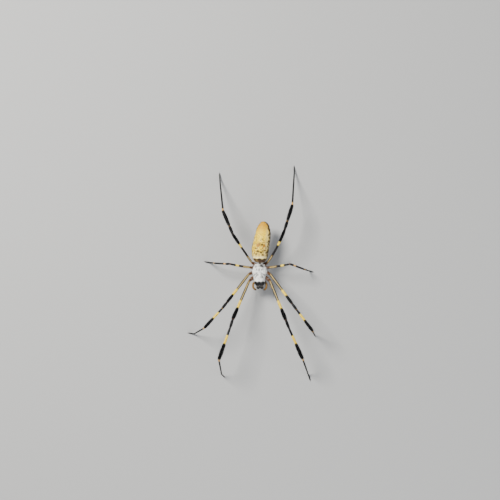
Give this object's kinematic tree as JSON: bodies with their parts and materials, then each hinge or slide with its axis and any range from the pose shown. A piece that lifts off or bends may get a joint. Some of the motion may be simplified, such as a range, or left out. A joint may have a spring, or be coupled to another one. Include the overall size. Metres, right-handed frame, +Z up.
{
  "type": "golden silk orb weaver spider",
  "caption": "Life-size golden silk orb weaver standing on long banded, tufted legs, with a silver carapace and a long mottled yellow abdomen.",
  "frame": {"origin": "on the floor, under the middle of the model's box", "axes": "+Z up, +Y from the head toward the abdomen's rear end, +X toward the spider's left as its back is seen with the head down"},
  "size_m": [0.0474, 0.0796, 0.0152],
  "materials": {
    "silver_shell": "dense silvery-white down over dark shell",
    "brown_shell": "reddish-brown shell, thinly haired",
    "amber_shell": "yellow-brown shell with pale bands and black tips",
    "black_shell": "black shell, satin",
    "abdomen_skin": "soft yellow skin, mottled brown, fine down",
    "eye": "polished black"
  },
  "bodies": {
    "root": {"carapace": "silver_shell", "sternum": "brown_shell", "mouth": "brown_shell", "abdomen": "abdomen_skin", "pedicel": "brown_shell", "spinnerets": "brown_shell", "eye_front_inner_right": "eye", "eye_front_outer_right": "eye", "eye_front_inner_left": "eye", "eye_front_outer_left": "eye", "eye_rear_inner_right": "eye", "eye_rear_outer_right": "eye", "eye_rear_inner_left": "eye", "eye_rear_outer_left": "eye", "chelicera_right": "black_shell", "fang_right": "black_shell", "pedipalp_right": "amber_shell", "chelicera_left": "black_shell", "fang_left": "black_shell", "pedipalp_left": "amber_shell", "leg_right_1_coxa": "brown_shell", "leg_right_1_femur": "amber_shell", "leg_right_1_patella": "black_shell", "leg_right_1_tibia": "black_shell", "leg_right_1_foot": "black_shell", "leg_left_1_coxa": "brown_shell", "leg_left_1_femur": "amber_shell", "leg_left_1_patella": "black_shell", "leg_left_1_tibia": "black_shell", "leg_left_1_foot": "black_shell", "leg_right_2_coxa": "brown_shell", "leg_right_2_femur": "amber_shell", "leg_right_2_patella": "black_shell", "leg_right_2_tibia": "black_shell", "leg_right_2_foot": "black_shell", "leg_left_2_coxa": "brown_shell", "leg_left_2_femur": "amber_shell", "leg_left_2_patella": "black_shell", "leg_left_2_tibia": "black_shell", "leg_left_2_foot": "black_shell", "leg_right_3_coxa": "brown_shell", "leg_right_3_femur": "amber_shell", "leg_right_3_patella": "black_shell", "leg_right_3_tibia": "black_shell", "leg_right_3_foot": "black_shell", "leg_left_3_coxa": "brown_shell", "leg_left_3_femur": "amber_shell", "leg_left_3_patella": "black_shell", "leg_left_3_tibia": "black_shell", "leg_left_3_foot": "black_shell", "leg_right_4_coxa": "brown_shell", "leg_right_4_femur": "amber_shell", "leg_right_4_patella": "black_shell", "leg_right_4_tibia": "black_shell", "leg_right_4_foot": "black_shell", "leg_left_4_coxa": "brown_shell", "leg_left_4_femur": "amber_shell", "leg_left_4_patella": "black_shell", "leg_left_4_tibia": "black_shell", "leg_left_4_foot": "black_shell"}
  },
  "joints": []
}
